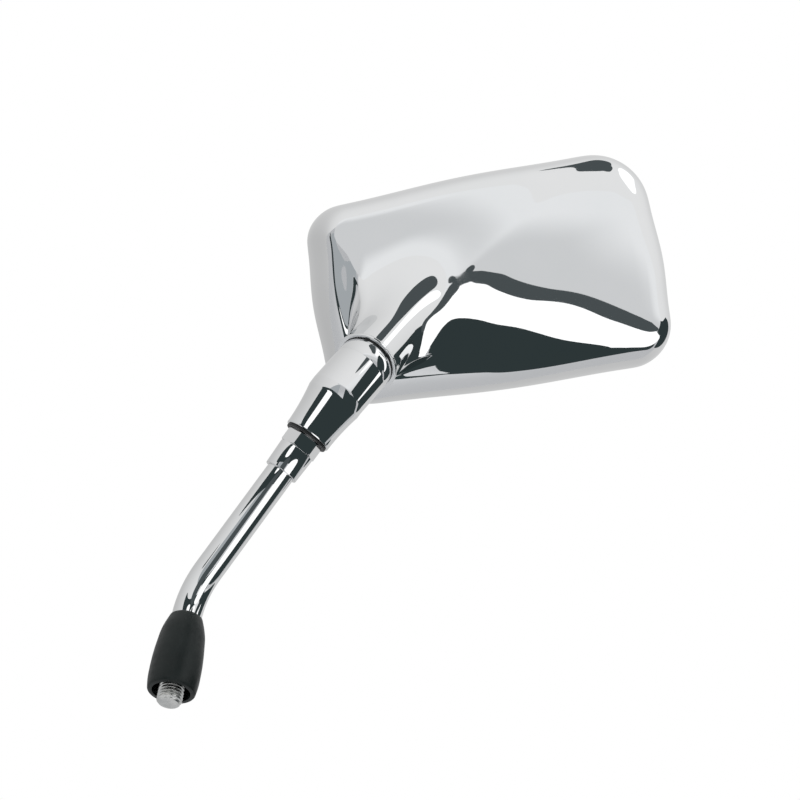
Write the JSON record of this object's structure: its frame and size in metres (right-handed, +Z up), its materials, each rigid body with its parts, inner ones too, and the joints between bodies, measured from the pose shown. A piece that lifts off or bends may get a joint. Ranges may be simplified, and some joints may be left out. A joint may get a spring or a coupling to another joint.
{
  "type": "motorcycle mirror",
  "caption": "Chromed motorcycle mirror for the left side, with a rounded trapezoid head on a ball joint, a swivel arm, a bent tube stem and a rubber boot over its threaded stud.",
  "frame": {"origin": "on the mounting stud's axis, at the seat of the lower lock nut, where the stud leaves it downwards", "axes": "+Z up along the mounting stud's axis, which points along -Z; +X the way the stem leans above its bend"},
  "size_m": [0.1681, 0.1345, 0.2815],
  "materials": {
    "chrome": "polished",
    "zinc": "zinc plated",
    "rubber": "satin",
    "mirror": "polished",
    "nylon": "natural",
    "foam": "foam"
  },
  "bodies": {
    "stem": {"stem": "chrome", "mounting_stud": "zinc", "arm_stud": "zinc", "stem_sleeve": "chrome", "arm_lock_nut": "chrome", "arm_seal": "rubber", "lower_lock_nut": "zinc"},
    "boot": {"rubber_boot": "rubber"},
    "arm": {"arm_elbow": "chrome", "ball_stud": "zinc"},
    "lower_seat": {"ball_liner": "nylon"},
    "upper_seat": {"cap_liner": "nylon"},
    "head": {"housing_shell": "chrome", "mirror_glass": "mirror", "glass_rim": "rubber", "backing_pad": "foam", "neck_gasket": "rubber", "neck_collar": "chrome", "pressure_cup": "zinc", "disc_springs": "zinc", "retainer_ring": "zinc"}
  },
  "joints": [
    {"name": "boot_slide", "type": "slide", "parent": "stem", "child": "boot", "axis": [0, 0, 1], "range_m": [-0.004, 0]},
    {"name": "arm_turn", "type": "hinge", "parent": "stem", "child": "arm", "pos_m": [0.05592, 0, 0.1149], "axis": [0.5592, 0, 0.829], "continuous": true},
    {"name": "head_tilt", "type": "hinge", "parent": "arm", "child": "lower_seat", "pos_m": [0.06295, 0.0052, 0.13233], "axis": [0.2379, -0.9529, 0.1882], "range_deg": [-22, 3.8]},
    {"name": "head_swing", "type": "hinge", "parent": "lower_seat", "child": "upper_seat", "pos_m": [0.06295, 0.0052, 0.13233], "axis": [-0.9019, -0.1448, 0.407], "range_deg": [-22, 3.8]},
    {"name": "head_spin", "type": "hinge", "parent": "upper_seat", "child": "head", "pos_m": [0.06295, 0.0052, 0.13233], "axis": [0.17, 0.3883, 0.9057], "continuous": true}
  ]
}
